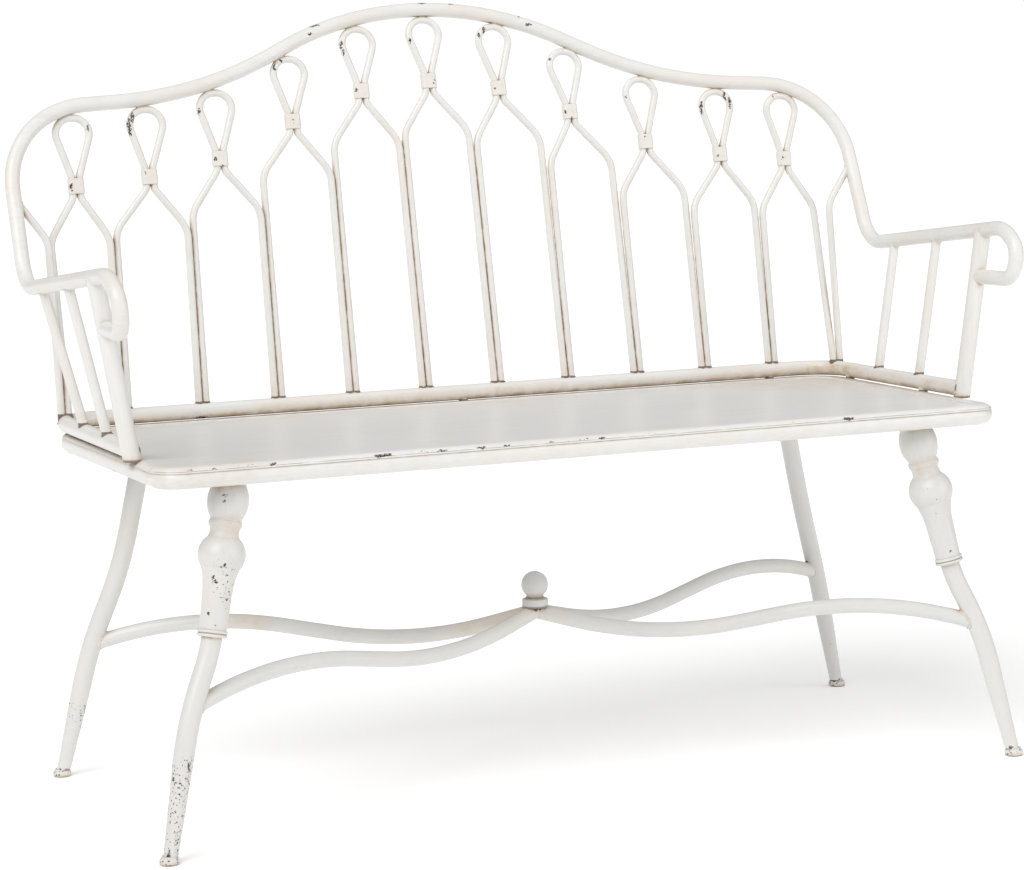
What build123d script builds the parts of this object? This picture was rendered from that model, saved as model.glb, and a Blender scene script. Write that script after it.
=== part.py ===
"""Garden bench of painted steel tube and bar.

Frame: millimetres, X along the bench, +Y towards the back, +Z up. The origin is on the
ground under the middle of the bench's overall box, so the feet stand on Z = 0.

One continuous tube makes the back's top rail, both arms and the scrolls in front of them.
It stands on eleven looped back rods, four arm rods and two front posts, which are welded to
a bent rail that is bolted down on the seat. The seat is a pressed sheet rolled over a tube
frame. Four bent, splayed legs are bolted under it and tied by four waved stretcher arms,
which meet under a turned finial.
"""

import os
from math import atan, atan2, cos, radians, tan

from build123d import *

os.makedirs("parts", exist_ok=True)

# ---------------------------------------------------------------- driving dimensions
BACK_Y = 181.0            # the back run of the seat rail, behind the origin

# seat: outline of the rolled sheet, heights and materials
SEAT_TOP = 448.4          # crown of the seat's border
SEAT_REAR_HALF = 557.0    # half width at the back corners
SEAT_FRONT_HALF = 547.0   # half width at the front corners
SEAT_BACK_Y = BACK_Y + 12.0
SEAT_FRONT_Y = BACK_Y - 468.0
FRONT_CORNER_RADIUS = 38.0
REAR_CORNER_RADIUS = 62.0
SHEET = 1.4
FRAME_TUBE = 24.0
FRAME_WALL = 1.5
FIELD_INSET = 29.0        # from the outline to the sunk middle of the seat
FIELD_DEPTH = 1.6
LIP_ABOVE_AXIS = 7.0      # the sheet is rolled down to this height above the frame's axis
FRAME_AXIS_Z = SEAT_TOP - SHEET - FRAME_TUBE / 2
FRAME_INSET = SHEET + FRAME_TUBE / 2

# rail on the seat
RAIL_TUBE = 20.0
RAIL_WALL = 1.5
RAIL_GAP = 0.8            # daylight between the seat's border and the rail
RAIL_Z = SEAT_TOP + RAIL_GAP + RAIL_TUBE / 2
RAIL_SIDE_X = 548.0
RAIL_CORNER_RADIUS = 52.0
SPACER_DIAMETER = 12.0

# top tube, right half; each corner is X, distance in front of BACK_Y, Z, bend radius
TOP_TUBE = 19.0
TOP_WALL = 1.5
CREST = (0.0, -134.0, 1017.0)
CREST_RADIUS = 430.0
HOLLOW = (322.0, -71.0, 862.5)
HOLLOW_RADIUS = 560.0
SHOULDER = (588.0, -47.0, 849.0)
SHOULDER_RADIUS = 116.0
ARM_BEND = (590.0, 46.0, 631.0)
ARM_BEND_RADIUS = 50.0
SCROLL_TOP = (579.0, 418.0, 666.0)
SCROLL_TOP_RADIUS = 55.0
SCROLL_NOSE = (576.0, 458.0, 640.0)
SCROLL_NOSE_RADIUS = 28.0
SCROLL_UNDER = (573.0, 446.0, 602.0)
SCROLL_UNDER_RADIUS = 22.0

# posts and rods between the seat rail and the top tube
POST_DIAMETER = 21.0
POST_WALL = 1.5
POST_FOOT_X = 545.0
POST_FRONT = 365.0        # in front of BACK_Y
POST_BITE = 1.0           # how far the post is coped down round the seat's rolled edge
ARM_ROD = 12.5
ARM_ROD_FEET = (145.0, 255.0)
ARM_ROD_HEADS = (124.0, 243.0)

# looped back rods
BACK_ROD = 9.5
ROD_HALF_SPACING = 4.85   # from the middle of a touching pair to each rod's axis
LOOP_COUNT = 11
LOOP_PITCH = 102.2
LOOP_DRIFTS = (3, 9, 3, 8, 7, 0, -4, -9, -6, 1, 3)    # how far each crown was bent sideways
THROAT_DRIFT = 0.75       # share of that at the collar
KNEE_DRIFTS = (0, 3, 5, 4, 5, 4, 3, 3, 0, 0, 0, 0)    # the same at each pair of knees
END_PAIR_X = 545.0
END_PAIR_FRONT = 32.0
LOOP_RADIUS = 20.5
LOOP_HEIGHTS = (86, 86, 85, 82, 82, 82, 83, 82, 85, 86, 87)    # collar's middle to crown's axis
LOOP_SHOULDER = 29.4
THROAT_ABOVE = 11.0
THROAT_BELOW = 15.0
KNEE_BELOW = 67.0
KNEE_RADIUS = 40.0
THROAT_RADIUS = 16.0
END_ROD_KNEE_Z = 686.0
END_ROD_HEAD_Z = 742.0
COLLAR_WIDTH = 21.0
COLLAR_DEPTH = 12.0
COLLAR_HEIGHT = 20.0
COLLAR_CORNER = 5.0
COLLAR_EDGE = 1.0          # rounding of a collar's rims

# legs; each corner is X, distance in front of BACK_Y, Z
LEG_DIAMETER = 24.0
LEG_WALL = 2.0
ANKLE_DIAMETER = 16.5
TAPER_Z = 118.0
FRONT_LEG = [(446.8, 417.4, 420.0), (485.7, 441.8, 232.0), (517.0, 455.0, 165.0), (552.4, 473.5, 0.0)]
FRONT_LEG_RADII = [200.0, 390.0]
REAR_LEG = [(451.2, 44.5, 420.0), (482.5, 35.0, 275.0), (521.0, 5.0, 168.0), (560.7, -14.8, 0.0)]
REAR_LEG_RADII = [400.0, 430.0]
FOOT_DIAMETER = 23.0
FOOT_HEIGHT = 10.0

# turned sleeves on the front legs, radii and heights along the sleeve's own axis
SLEEVE_FOOT = 168.0       # length of the sleeve below the leg's top corner
RING_RADIUS = 17.7
RING_HEIGHT = 8.4
RING_GROOVE = 1.8         # depth of the grooves beside each of the ring's two beads

# stretcher
STRETCHER_TUBE = 19.0
STRETCHER_WALL = 1.5
STRETCHER_FRONT = 234.3   # the crossing, in front of BACK_Y
STRETCHER_LEG_Z = 171.0
STRETCHER_CREST = (132.0, 210.0)    # distance along the arm in plan, height
STRETCHER_DIP = (410.0, 161.0)
STRETCHER_HUB_Z = 201.0
STRETCHER_CREST_RADIUS = 500.0
STRETCHER_DIP_RADIUS = 480.0
CAP_DIAMETER = 33.0
CAP_TOP_Z = 217.0
BALL_DIAMETER = 34.0
BALL_Z = 234.8
NECK_RADIUS = 10.5
NECK_FLARE = 1.5

# fixings
BOLT = 6.0
BOLT_HOLE = 6.4
ACCESS_HOLE = 11.0        # in the underside of the seat's tube, for the rail's bolt heads
RAIL_BOLT_HEAD = 10.0
RAIL_BOLT_HEAD_ABOVE_AXIS = 6.0
STUD = 8.0
STUD_BOTTOM_Z = 197.0     # inside the crossing of the stretcher arms
LEG_PLATE_WIDTH = 66.0
LEG_PLATE_DEPTH = 52.0
LEG_PLATE_THICKNESS = 4.0
CLEAT_WIDTH = 76.0
CLEAT_THICKNESS = 6.0
CLEAT_X = 447.0
PLATE_TOP_Z = 429.0
PLATE_BOLT_DX = 24.0
PLATE_BOLT_DY = 18.0


# ---------------------------------------------------------------- helpers
def save(piece, name):
    """Label a finished piece and write its STEP file."""
    piece.part.label = name
    export_step(piece.part, f"parts/{name}.step")


def save_pair(right, name):
    """Save a right-hand piece, and its mirror image as the left-hand one."""
    save(right, f"{name}_right")
    with BuildPart() as left:
        mirror(right.part, about=Plane.YZ)
    save(left, f"{name}_left")


def both_sides(right):
    """A right-hand solid together with its mirror image."""
    with BuildPart() as both:
        add(right.part)
        mirror(right.part, about=Plane.YZ)
    return both


def place(x, front, z):
    """A point given by its distance in front of the seat rail's back run."""
    return (x, BACK_Y - front, z)


def route_of(corners, radii, close=False):
    """Straight runs joined by tangent bends."""
    with BuildLine() as route:
        FilletPolyline(*corners, radius=radii, close=close)
    return route.wire()


def bent_tube(route, diameter, wall=0.0):
    """A round tube along a route, or a solid bar where wall is 0."""
    with BuildPart() as tube:
        with BuildSketch(Plane(origin=route @ 0, z_dir=route % 0)):
            Circle(diameter / 2)
            if wall:
                Circle(diameter / 2 - wall, mode=Mode.SUBTRACT)
        sweep(path=route)
    return tube


def straight_bar(start, end, diameter, wall=0.0):
    """A round bar or tube between two points."""
    route = Edge.make_line(start, end)
    with BuildPart() as bar:
        with BuildSketch(Plane(origin=start, z_dir=route % 0)):
            Circle(diameter / 2)
            if wall:
                Circle(diameter / 2 - wall, mode=Mode.SUBTRACT)
        extrude(amount=route.length)
    return bar


def point_where(route, reading, value, low, high):
    """The point between two fractions of a route where a rising reading reaches a value."""
    for _ in range(40):
        middle = (low + high) / 2
        if reading(route @ middle) < value:
            low = middle
        else:
            high = middle
    return route @ low


def hexagon_radius(across_flats):
    return across_flats / 2 / cos(radians(30))


# ---------------------------------------------------------------- seat
side_taper = atan((SEAT_REAR_HALF - SEAT_FRONT_HALF) / (SEAT_BACK_Y - SEAT_FRONT_Y))


def seat_corners(inset, z):
    """Corners of the outline, moved in by the same distance on every edge."""
    rear_x = SEAT_REAR_HALF - inset * tan(side_taper) - inset / cos(side_taper)
    front_x = SEAT_FRONT_HALF + inset * tan(side_taper) - inset / cos(side_taper)
    rear_y = SEAT_BACK_Y - inset
    front_y = SEAT_FRONT_Y + inset
    return [(-front_x, front_y, z), (front_x, front_y, z), (rear_x, rear_y, z), (-rear_x, rear_y, z)]


def seat_radii(inset):
    front = FRONT_CORNER_RADIUS - inset
    rear = REAR_CORNER_RADIUS - inset
    return [front, front, rear, rear]


def seat_slab(inset, bottom, top, round_over=0.0):
    """A slab of the seat's outline with its top edge rounded over."""
    with BuildPart() as slab:
        with BuildSketch(Plane.XY.offset(bottom)):
            with BuildLine():
                FilletPolyline(*seat_corners(inset, 0), radius=seat_radii(inset), close=True)
            make_face()
        extrude(amount=top - bottom)
        if round_over:
            fillet(slab.faces().sort_by(Axis.Z)[-1].edges(), radius=round_over)
    return slab


frame_route = route_of(seat_corners(FRAME_INSET, FRAME_AXIS_Z), seat_radii(FRAME_INSET), close=True)
frame_solid = bent_tube(frame_route, FRAME_TUBE)

# the sheet: a rounded slab, hollowed from below, with its middle sunk a little
SLIP = 0.02               # keeps the rolled sheet just clear of the tube inside it
seat_solid = seat_slab(0, FRAME_AXIS_Z, SEAT_TOP, FRAME_INSET - SLIP)
field_cut = seat_slab(FIELD_INSET, SEAT_TOP - FIELD_DEPTH, SEAT_TOP + 1)
under_void = seat_slab(SHEET - SLIP, FRAME_AXIS_Z - 1, SEAT_TOP - SHEET + SLIP, FRAME_TUBE / 2)
under_step = seat_slab(FIELD_INSET - SHEET, SEAT_TOP - SHEET - FIELD_DEPTH, SEAT_TOP)

# bolts that hold the rail down: three along the back and two on each side
RAIL_BOLT_BACK_X = (-455.0, 0.0, 455.0)
RAIL_BOLT_SIDE_FRONT = (70.0, 275.0)


def rail_x(front):
    """Where the rail's right side is, at a distance in front of its back run."""
    return RAIL_SIDE_X + (POST_FOOT_X - RAIL_SIDE_X) * front / POST_FRONT


def side_bolt_x(front):
    """Midway between the rail's axis and the axis of the seat's tube under it."""
    forward = front + SEAT_BACK_Y - BACK_Y
    tube_x = SEAT_REAR_HALF - forward * tan(side_taper) - FRAME_INSET
    return (rail_x(front) + tube_x) / 2


rail_bolts_at = [(x, BACK_Y - 1.0) for x in RAIL_BOLT_BACK_X]
rail_bolts_at += [
    (side * side_bolt_x(front), BACK_Y - front) for side in (-1, 1) for front in RAIL_BOLT_SIDE_FRONT
]


def rail_bolt_cylinders(radius, bottom, top):
    """Upright cylinders, one at each bolt of the seat rail."""
    with BuildPart() as cylinders:
        with BuildSketch(Plane.XY.offset(bottom)):
            with Locations(*rail_bolts_at):
                Circle(radius)
        extrude(amount=top - bottom)
    return cylinders


rail_bolt_holes = rail_bolt_cylinders(BOLT_HOLE / 2, FRAME_AXIS_Z, SEAT_TOP + RAIL_GAP)
access_holes = rail_bolt_cylinders(ACCESS_HOLE / 2, FRAME_AXIS_Z - FRAME_TUBE, FRAME_AXIS_Z)

with BuildPart() as seat_panel:
    add(seat_solid.part)
    add(field_cut.part, mode=Mode.SUBTRACT)
    field_rim = seat_panel.faces().filter_by(Plane.XY).sort_by(Axis.Z)[-1].inner_wires()[0].edges()
    fillet(field_rim, radius=1.2)
    add(under_void.part - under_step.part, mode=Mode.SUBTRACT)
    split(bisect_by=Plane.XY.offset(FRAME_AXIS_Z + LIP_ABOVE_AXIS), keep=Keep.TOP)
    add(rail_bolt_holes.part, mode=Mode.SUBTRACT)
save(seat_panel, "seat_panel")

with BuildPart() as seat_frame:
    add(bent_tube(frame_route, FRAME_TUBE, FRAME_WALL).part)
    add(rail_bolt_holes.part, mode=Mode.SUBTRACT)
    add(access_holes.part, mode=Mode.SUBTRACT)
save(seat_frame, "seat_frame")

# ---------------------------------------------------------------- top tube, posts and arms
half_corners = [HOLLOW, SHOULDER, ARM_BEND, SCROLL_TOP, SCROLL_NOSE, SCROLL_UNDER]
half_radii = [
    HOLLOW_RADIUS,
    SHOULDER_RADIUS,
    ARM_BEND_RADIUS,
    SCROLL_TOP_RADIUS,
    SCROLL_NOSE_RADIUS,
    SCROLL_UNDER_RADIUS,
]
arm_start = Vector(*place(*ARM_BEND))
arm_end = Vector(*place(*SCROLL_TOP))
post_reach = (arm_start.Y - (BACK_Y - POST_FRONT)) / (arm_start.Y - arm_end.Y)
post_head = arm_start + (arm_end - arm_start) * post_reach
post_foot = Vector(*place(POST_FOOT_X, POST_FRONT, SEAT_TOP - FRAME_TUBE / 2))
scroll_tail_reach = (SCROLL_UNDER[2] - post_foot.Z) / (post_head.Z - post_foot.Z)
scroll_tail = post_foot + (post_head - post_foot) * scroll_tail_reach

right_points = [place(*corner) for corner in half_corners] + [tuple(scroll_tail)]
left_points = [(-x, y, z) for x, y, z in reversed(right_points)]
top_route = route_of(
    left_points + [place(*CREST)] + right_points,
    half_radii[::-1] + [CREST_RADIUS] + half_radii,
)
top_solid = bent_tube(top_route, TOP_TUBE)

arm_run = straight_bar(arm_start, arm_end, TOP_TUBE)
with BuildPart() as post_solid:
    add(straight_bar(post_foot, post_head, POST_DIAMETER).part)
    add(arm_run.part, mode=Mode.SUBTRACT)
post_solids = both_sides(post_solid)

with BuildPart() as front_post:
    add(straight_bar(post_foot, post_head, POST_DIAMETER, POST_WALL).part)
    add(arm_run.part, mode=Mode.SUBTRACT)
    add(seat_solid.part, mode=Mode.SUBTRACT)
    add(frame_solid.part, mode=Mode.SUBTRACT)
    split(bisect_by=Plane.XY.offset(SEAT_TOP - POST_BITE), keep=Keep.TOP)
save_pair(front_post, "front_post")

with BuildPart() as top_bow:
    add(bent_tube(top_route, TOP_TUBE, TOP_WALL).part)
    add(post_solids.part, mode=Mode.SUBTRACT)
save(top_bow, "top_bow")

# ---------------------------------------------------------------- seat rail
rail_corners = [
    place(-POST_FOOT_X, POST_FRONT, RAIL_Z),
    place(-RAIL_SIDE_X, 0, RAIL_Z),
    place(RAIL_SIDE_X, 0, RAIL_Z),
    place(POST_FOOT_X, POST_FRONT, RAIL_Z),
]
rail_route = route_of(rail_corners, [RAIL_CORNER_RADIUS, RAIL_CORNER_RADIUS])
rail_solid = bent_tube(rail_route, RAIL_TUBE)
rail_threads = rail_bolt_cylinders(BOLT / 2, FRAME_AXIS_Z, RAIL_Z)

with BuildPart() as seat_rail:
    add(bent_tube(rail_route, RAIL_TUBE, RAIL_WALL).part)
    add(post_solids.part, mode=Mode.SUBTRACT)
    add(rail_threads.part, mode=Mode.SUBTRACT)
save(seat_rail, "seat_rail")

with BuildPart() as rail_spacers:
    add(rail_bolt_cylinders(SPACER_DIAMETER / 2, SEAT_TOP - FIELD_DEPTH, RAIL_Z - RAIL_TUBE / 4).part)
    add(rail_solid.part, mode=Mode.SUBTRACT)
    add(seat_solid.part, mode=Mode.SUBTRACT)
    add(rail_bolt_cylinders(BOLT_HOLE / 2, FRAME_AXIS_Z, RAIL_Z).part, mode=Mode.SUBTRACT)
save(rail_spacers, "rail_spacers")

frame_bore = bent_tube(frame_route, FRAME_TUBE - 2 * FRAME_WALL)
with BuildPart() as rail_bolts:
    add(rail_bolt_cylinders(RAIL_BOLT_HEAD / 2, FRAME_AXIS_Z + RAIL_BOLT_HEAD_ABOVE_AXIS, SEAT_TOP).part)
    fillet(rail_bolts.faces().group_by(Axis.Z)[0].edges(), radius=1.5)
    add(frame_bore.part, mode=Mode.INTERSECT)
    add(rail_bolt_cylinders(BOLT / 2, FRAME_AXIS_Z + RAIL_BOLT_HEAD_ABOVE_AXIS + 1, RAIL_Z - 1).part)
save(rail_bolts, "rail_bolts")

# ---------------------------------------------------------------- arm rods
for number, (foot_front, head_front) in enumerate(zip(ARM_ROD_FEET, ARM_ROD_HEADS), start=1):
    arm_reach = (arm_start.Y - (BACK_Y - head_front)) / (arm_start.Y - arm_end.Y)
    head = arm_start + (arm_end - arm_start) * arm_reach
    with BuildPart() as arm_rod:
        add(straight_bar(Vector(*place(rail_x(foot_front), foot_front, RAIL_Z)), head, ARM_ROD).part)
        add(rail_solid.part, mode=Mode.SUBTRACT)
        add(top_solid.part, mode=Mode.SUBTRACT)
    save_pair(arm_rod, f"arm_rod_{number}")

# ---------------------------------------------------------------- looped back rods and collars
COLLAR_SLIP = 0.1         # room between a collar's bore and the rods, on the diameter
LAP = 0.5                 # how far a loop's crown reaches into the top tube before it is coped


def top_tube_above(x):
    """The top tube's axis over a place along the back."""
    return point_where(top_route, lambda point: point.X, x, 0.25, 0.75)


def lean_at(x):
    """How far the back leans for each millimetre of height above the seat rail."""
    axis = top_tube_above(x)
    return (axis.Y - BACK_Y) / (axis.Z - RAIL_Z)


def collar_z(x, loop_height):
    """Height of a collar's middle, so that its loop just meets the sloping top tube."""
    before = top_tube_above(x - 5)
    after = top_tube_above(x + 5)
    slope = atan2(after.Z - before.Z, after.X - before.X)
    clear = LOOP_RADIUS + BACK_ROD / 2 + TOP_TUBE / 2 - LAP
    return top_tube_above(x).Z - clear / cos(slope) + LOOP_RADIUS - loop_height


def back_point(x, z, lean):
    return (x, BACK_Y + lean * (z - RAIL_Z), z)


def loop_route(throat_x, z, crown_x, crown, feet, knee_drifts):
    """One rod: up from a foot, in through the throat, round the loop and down to the other foot."""
    lean = lean_at(crown_x)
    throat = ROD_HALF_SPACING
    left_foot, right_foot = feet
    rise = (z - KNEE_BELOW - RAIL_Z) / (z - RAIL_Z)
    hip = BACK_Y + lean * (z - RAIL_Z)
    knees = [
        (foot_x + knee_drift, foot_y + (hip - foot_y) * rise, z - KNEE_BELOW)
        for (foot_x, foot_y, _), knee_drift in zip(feet, knee_drifts)
    ]
    corners = [
        left_foot,
        knees[0],
        back_point(throat_x - throat, z - THROAT_BELOW, lean),
        back_point(throat_x - throat, z + THROAT_ABOVE, lean),
        back_point(crown_x - LOOP_SHOULDER, crown, lean),
        back_point(crown_x + LOOP_SHOULDER, crown, lean),
        back_point(throat_x + throat, z + THROAT_ABOVE, lean),
        back_point(throat_x + throat, z - THROAT_BELOW, lean),
        knees[1],
        right_foot,
    ]
    half = [KNEE_RADIUS, THROAT_RADIUS, THROAT_RADIUS, LOOP_RADIUS]
    return route_of(corners, half + half[::-1])


def pair_place(number):
    """X and Y of a touching pair of rods on the seat rail, counted from the left end."""
    if number in (0, LOOP_COUNT):
        side = -1 if number == 0 else 1
        return side * END_PAIR_X, BACK_Y - END_PAIR_FRONT
    return (number - LOOP_COUNT / 2) * LOOP_PITCH, BACK_Y


collars = []
for index, (drift, loop_height) in enumerate(zip(LOOP_DRIFTS, LOOP_HEIGHTS)):
    left_x, left_y = pair_place(index)
    right_x, right_y = pair_place(index + 1)
    crown_x = (left_x + right_x) / 2 + drift
    collar_x = crown_x - drift * (1 - THROAT_DRIFT)
    middle_z = collar_z(crown_x, loop_height)
    loop_feet = [
        (left_x + ROD_HALF_SPACING, left_y, RAIL_Z),
        (right_x - ROD_HALF_SPACING, right_y, RAIL_Z),
    ]
    loop_line = loop_route(
        collar_x,
        middle_z,
        crown_x,
        middle_z + loop_height,
        loop_feet,
        KNEE_DRIFTS[index : index + 2],
    )
    with BuildPart() as back_loop:
        add(bent_tube(loop_line, BACK_ROD).part)
        add(rail_solid.part, mode=Mode.SUBTRACT)
        add(top_solid.part, mode=Mode.SUBTRACT)
    save(back_loop, f"back_loop_{index + 1:02d}")
    lean = lean_at(crown_x)
    middle = back_point(collar_x, middle_z, lean)
    collar_plane = Plane(origin=middle, x_dir=(1, 0, 0), z_dir=(0, lean, 1))
    with BuildPart() as collar:
        with BuildSketch(collar_plane.offset(-COLLAR_HEIGHT / 2)):
            RectangleRounded(COLLAR_WIDTH, COLLAR_DEPTH, COLLAR_CORNER)
            SlotOverall(BACK_ROD + 2 * ROD_HALF_SPACING, BACK_ROD + COLLAR_SLIP, mode=Mode.SUBTRACT)
        extrude(amount=COLLAR_HEIGHT)
        ends = collar.faces().sort_by(Axis(collar_plane.origin, collar_plane.z_dir))
        fillet(ends[0].outer_wire().edges() + ends[-1].outer_wire().edges(), radius=COLLAR_EDGE)
        add(bent_tube(loop_line, BACK_ROD + COLLAR_SLIP).part, mode=Mode.SUBTRACT)
        band = collar.solids().sort_by(SortBy.VOLUME)[-1]
        add(band, mode=Mode.INTERSECT)
    collars.append(collar)

with BuildPart() as loop_collars:
    for collar in collars:
        add(collar.part)
save(loop_collars, "loop_collars")

# half rods that close the two ends of the back
head = point_where(top_route, lambda point: -point.Z, -END_ROD_HEAD_Z, 0.7, 0.88)
foot = Vector(*place(END_PAIR_X + ROD_HALF_SPACING, END_PAIR_FRONT, RAIL_Z))
rise = (END_ROD_KNEE_Z - RAIL_Z) / (END_ROD_HEAD_Z - RAIL_Z)
knee = (foot.X, foot.Y + (head.Y - foot.Y) * rise, END_ROD_KNEE_Z)
with BuildPart() as end_rod:
    add(bent_tube(route_of([tuple(foot), knee, tuple(head)], [KNEE_RADIUS]), BACK_ROD).part)
    add(rail_solid.part, mode=Mode.SUBTRACT)
    add(top_solid.part, mode=Mode.SUBTRACT)
save_pair(end_rod, "end_rod")

# ---------------------------------------------------------------- under the seat
leg_tops = {"front": place(*FRONT_LEG[0]), "rear": place(*REAR_LEG[0])}
plate_bolts_at = [
    (side * (x + dx), y + dy)
    for x, y, _ in leg_tops.values()
    for side in (-1, 1)
    for dx in (-PLATE_BOLT_DX, PLATE_BOLT_DX)
    for dy in (-PLATE_BOLT_DY, PLATE_BOLT_DY)
]
with BuildPart() as plate_bolt_holes:
    with BuildSketch(Plane.XY.offset(PLATE_TOP_Z - 2 * LEG_PLATE_THICKNESS)):
        with Locations(*plate_bolts_at):
            Circle(BOLT_HOLE / 2)
    extrude(amount=4 * LEG_PLATE_THICKNESS)

FRAME_FRONT_Y = SEAT_FRONT_Y + FRAME_INSET
FRAME_BACK_Y = SEAT_BACK_Y - FRAME_INSET
frame_middle_y = (FRAME_FRONT_Y + FRAME_BACK_Y) / 2
frame_span = FRAME_BACK_Y - FRAME_FRONT_Y
with BuildPart() as seat_cleat:
    with BuildSketch(Plane.XY.offset(PLATE_TOP_Z)):
        with Locations((CLEAT_X, frame_middle_y)):
            Rectangle(CLEAT_WIDTH, frame_span)
    extrude(amount=CLEAT_THICKNESS)
    add(frame_solid.part, mode=Mode.SUBTRACT)
    add(plate_bolt_holes.part, mode=Mode.SUBTRACT)
save_pair(seat_cleat, "seat_cleat")

BRACE_WIDTH = 30.0
BRACE_THICKNESS = 5.0
brace_top = SEAT_TOP - SHEET - FIELD_DEPTH
with BuildPart() as seat_brace:
    with BuildSketch(Plane.XY.offset(brace_top - BRACE_THICKNESS)):
        with Locations((0, frame_middle_y)):
            Rectangle(BRACE_WIDTH, frame_span)
    extrude(amount=BRACE_THICKNESS)
    add(frame_solid.part, mode=Mode.SUBTRACT)
save(seat_brace, "seat_brace")

for end, (x, y, _) in leg_tops.items():
    with BuildPart() as leg_plate:
        with BuildSketch(Plane.XY.offset(PLATE_TOP_Z - LEG_PLATE_THICKNESS)):
            with Locations((x, y)):
                RectangleRounded(LEG_PLATE_WIDTH, LEG_PLATE_DEPTH, 6)
        extrude(amount=LEG_PLATE_THICKNESS)
        add(plate_bolt_holes.part, mode=Mode.SUBTRACT)
    save_pair(leg_plate, f"leg_plate_{end}")

BOLT_HEAD_FLATS = 10.0
BOLT_HEAD_HEIGHT = 4.0
NUT_HEIGHT = 5.0
plate_bottom_z = PLATE_TOP_Z - LEG_PLATE_THICKNESS
cleat_top_z = PLATE_TOP_Z + CLEAT_THICKNESS
with BuildPart() as leg_bolts:
    with BuildSketch(Plane.XY.offset(plate_bottom_z)):
        with Locations(*plate_bolts_at):
            RegularPolygon(hexagon_radius(BOLT_HEAD_FLATS), 6)
    extrude(amount=-BOLT_HEAD_HEIGHT)
    with BuildSketch(Plane.XY.offset(plate_bottom_z)):
        with Locations(*plate_bolts_at):
            Circle(BOLT / 2)
    extrude(amount=cleat_top_z - plate_bottom_z + NUT_HEIGHT + 1)
save(leg_bolts, "leg_bolts")

with BuildPart() as leg_nuts:
    with BuildSketch(Plane.XY.offset(cleat_top_z)):
        with Locations(*plate_bolts_at):
            RegularPolygon(hexagon_radius(BOLT_HEAD_FLATS), 6)
            Circle(BOLT / 2, mode=Mode.SUBTRACT)
    extrude(amount=NUT_HEIGHT)
save(leg_nuts, "leg_nuts")


# ---------------------------------------------------------------- legs and feet
def leg_body(corners, radii, upper, ankle):
    """A leg's solid shape: an even bent length, then a straight taper down to the ankle."""
    knee = Vector(*corners[-2])
    ground = Vector(*corners[-1])
    fall = ground - knee
    taper = knee + fall * ((knee.Z - TAPER_Z) / (knee.Z - ground.Z))
    top = Vector(*corners[0])
    rise = top - Vector(*corners[1])
    over = top + rise * (LEG_DIAMETER / rise.Z)
    route = route_of([tuple(over), corners[1], corners[2], tuple(taper)], radii)
    with BuildPart() as body:
        with BuildSketch(Plane(origin=over, z_dir=route % 0)):
            Circle(upper / 2)
        sweep(path=route)
        with BuildSketch(Plane(origin=taper, z_dir=fall)):
            Circle(upper / 2)
        with BuildSketch(Plane(origin=ground, z_dir=fall)):
            Circle(ankle / 2)
        loft()
    return body


def trim_leg(body):
    """Cut a leg level under its plate and on its foot."""
    with BuildPart() as trimmed:
        add(body.part)
        split(bisect_by=Plane.XY.offset(plate_bottom_z), keep=Keep.BOTTOM)
        split(bisect_by=Plane.XY.offset(FOOT_HEIGHT), keep=Keep.TOP)
    return trimmed


leg_solids = {}
foot_radius = FOOT_DIAMETER / 2
for end, corners, radii in (("front", FRONT_LEG, FRONT_LEG_RADII), ("rear", REAR_LEG, REAR_LEG_RADII)):
    points = [place(*corner) for corner in corners]
    leg_solids[end] = trim_leg(leg_body(points, radii, LEG_DIAMETER, ANKLE_DIAMETER))
    bore = leg_body(points, radii, LEG_DIAMETER - 2 * LEG_WALL, ANKLE_DIAMETER - 2 * LEG_WALL)
    with BuildPart() as leg:
        add(leg_solids[end].part)
        add(bore.part, mode=Mode.SUBTRACT)
    save_pair(leg, f"leg_{end}")

    ground_x, ground_y, _ = points[-1]
    with BuildPart() as foot:
        with BuildSketch(Plane(origin=(ground_x, ground_y, 0), x_dir=(1, 0, 0), z_dir=(0, -1, 0))):
            with BuildLine():
                Polyline((0, FOOT_HEIGHT), (0, 0), (foot_radius - 1, 0), (foot_radius, 1.5), (foot_radius, 5))
                ThreePointArc((foot_radius, 5), (foot_radius - 0.7, 7.2), (foot_radius - 2.5, 8.6))
                Polyline((foot_radius - 2.5, 8.6), (foot_radius - 3, FOOT_HEIGHT), (0, FOOT_HEIGHT))
            make_face()
        revolve(axis=Axis((ground_x, ground_y, 0), (0, 0, 1)))
    save_pair(foot, f"foot_{end}")

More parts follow.
